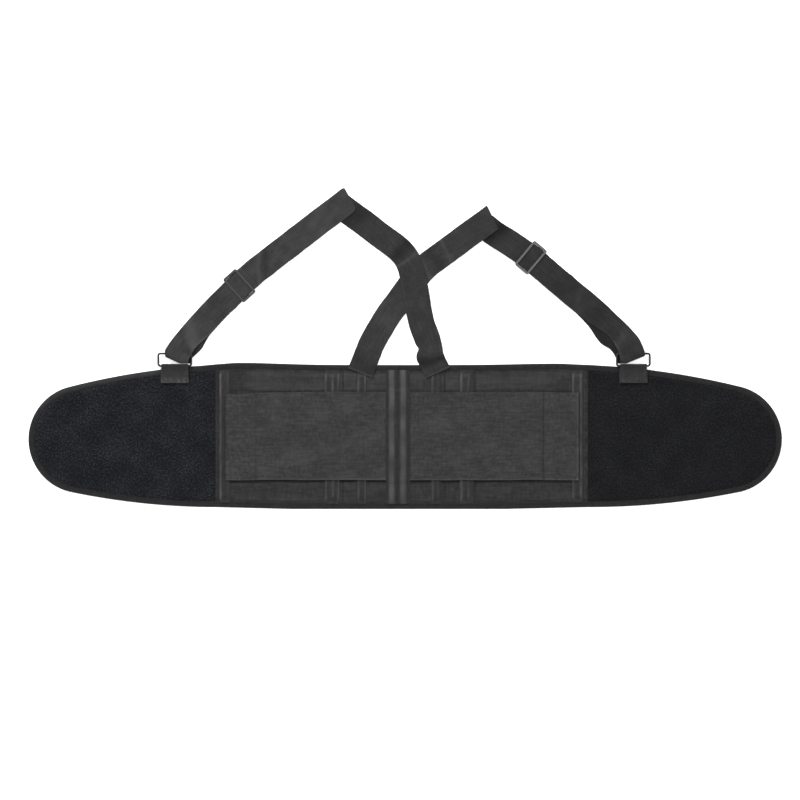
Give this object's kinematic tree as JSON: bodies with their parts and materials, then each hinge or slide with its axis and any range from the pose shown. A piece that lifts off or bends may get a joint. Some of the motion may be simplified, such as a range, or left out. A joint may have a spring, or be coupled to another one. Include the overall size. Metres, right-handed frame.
{
  "type": "back brace",
  "caption": "Elastic back brace laid flat: stayed lumbar belt with wrap wings, two pull panels and crossed adjustable suspenders.",
  "frame": {"origin": "middle of the inner, lumbar face of the back panel, on which the brace lies flat", "axes": "+X along the belt to the right seen from outside, +Y up towards the shoulders, +Z outward from the back"},
  "size_m": [1.0999, 0.4705, 0.0107],
  "materials": {
    "elastic": "matte",
    "pull_elastic": "matte",
    "binding": "matte",
    "webbing": "matte",
    "pile": "matte",
    "lining": "matte",
    "foam": "matte",
    "stay": "satin",
    "hook": "matte",
    "black_metal": "satin"
  },
  "bodies": {
    "back": {"back_elastic": "elastic", "back_top_binding": "binding", "back_bottom_binding": "binding", "centre_channel": "elastic", "left_centre_stay": "stay", "left_inner_channel": "elastic", "left_inner_stay": "stay", "left_outer_channel": "elastic", "left_outer_stay": "stay", "left_back_strap": "webbing", "left_front_strap_upper": "webbing", "right_centre_stay": "stay", "right_inner_channel": "elastic", "right_inner_stay": "stay", "right_outer_channel": "elastic", "right_outer_stay": "stay", "right_back_strap": "webbing", "right_front_strap_upper": "webbing"},
    "left_side": {"left_side_elastic": "elastic", "left_side_top_binding": "binding", "left_side_bottom_binding": "binding", "left_end_channel": "elastic", "left_end_stay": "stay", "left_front_strap_middle": "webbing"},
    "left_wing": {"left_wing_foam": "foam", "left_wing_pile": "pile", "left_wing_lining": "lining", "left_wing_binding": "binding", "left_ring_tab": "webbing", "left_front_strap_loop": "webbing"},
    "left_pull": {"left_pull_inner": "pull_elastic"},
    "left_pull_end": {"left_pull_outer": "pull_elastic", "left_pull_hook": "hook"},
    "left_adjuster": {"left_slider": "black_metal"},
    "left_strap_ring": {"left_ring": "black_metal"},
    "right_side": {"right_side_elastic": "elastic", "right_side_top_binding": "binding", "right_side_bottom_binding": "binding", "right_end_channel": "elastic", "right_end_stay": "stay", "right_front_strap_middle": "webbing"},
    "right_wing": {"right_wing_foam": "foam", "right_wing_pile": "pile", "right_wing_lining": "lining", "right_wing_binding": "binding", "right_ring_tab": "webbing", "right_front_strap_loop": "webbing", "right_wing_closure_hook": "hook"},
    "right_pull": {"right_pull_inner": "pull_elastic"},
    "right_pull_end": {"right_pull_outer": "pull_elastic", "right_pull_hook": "hook"},
    "right_adjuster": {"right_slider": "black_metal"},
    "right_strap_ring": {"right_ring": "black_metal"}
  },
  "joints": [
    {"name": "left_side_wrap", "type": "hinge", "parent": "back", "child": "left_side", "pos_m": [-0.1577, 0, 0], "axis": [0, -1, 0], "range_deg": [0, 90]},
    {"name": "left_wing_wrap", "type": "hinge", "parent": "left_side", "child": "left_wing", "pos_m": [-0.26644, 0, 0], "axis": [0, -1, 0], "range_deg": [0, 90]},
    {"name": "left_pull_peel", "type": "hinge", "parent": "back", "child": "left_pull", "pos_m": [-0.0178, 0, 0.0052], "axis": [0, 1, 0], "range_deg": [0, 85]},
    {"name": "left_pull_wrap", "type": "hinge", "parent": "left_pull", "child": "left_pull_end", "pos_m": [-0.1577, 0, 0], "axis": [0, -1, 0], "range_deg": [0, 90]},
    {"name": "left_slider_slide", "type": "slide", "parent": "left_side", "child": "left_adjuster", "axis": [0.7441, 0.6681, 0], "range_m": [-0.008, 0.06]},
    {"name": "left_ring_swing", "type": "hinge", "parent": "left_wing", "child": "left_strap_ring", "pos_m": [-0.3256, 0.104, 0.0049], "axis": [1, 0, 0], "range_deg": [0, 8]},
    {"name": "right_side_wrap", "type": "hinge", "parent": "back", "child": "right_side", "pos_m": [0.1577, 0, 0], "axis": [0, 1, 0], "range_deg": [0, 90]},
    {"name": "right_wing_wrap", "type": "hinge", "parent": "right_side", "child": "right_wing", "pos_m": [0.27676, 0, 0], "axis": [0, 1, 0], "range_deg": [0, 90]},
    {"name": "right_pull_peel", "type": "hinge", "parent": "back", "child": "right_pull", "pos_m": [0.0178, 0, 0.0052], "axis": [0, -1, 0], "range_deg": [0, 85]},
    {"name": "right_pull_wrap", "type": "hinge", "parent": "right_pull", "child": "right_pull_end", "pos_m": [0.1577, 0, 0], "axis": [0, 1, 0], "range_deg": [0, 90]},
    {"name": "right_slider_slide", "type": "slide", "parent": "right_side", "child": "right_adjuster", "axis": [-0.7684, 0.64, 0], "range_m": [-0.055, 0.02]},
    {"name": "right_ring_swing", "type": "hinge", "parent": "right_wing", "child": "right_strap_ring", "pos_m": [0.3432, 0.104, 0.0049], "axis": [1, 0, 0], "range_deg": [0, 8]}
  ],
  "couplings": [
    {"joint": "left_wing_wrap", "follows": "left_side_wrap", "ratio": 1},
    {"joint": "left_pull_wrap", "follows": "left_side_wrap", "ratio": 1},
    {"joint": "right_wing_wrap", "follows": "right_side_wrap", "ratio": 1},
    {"joint": "right_pull_wrap", "follows": "right_side_wrap", "ratio": 1}
  ]
}
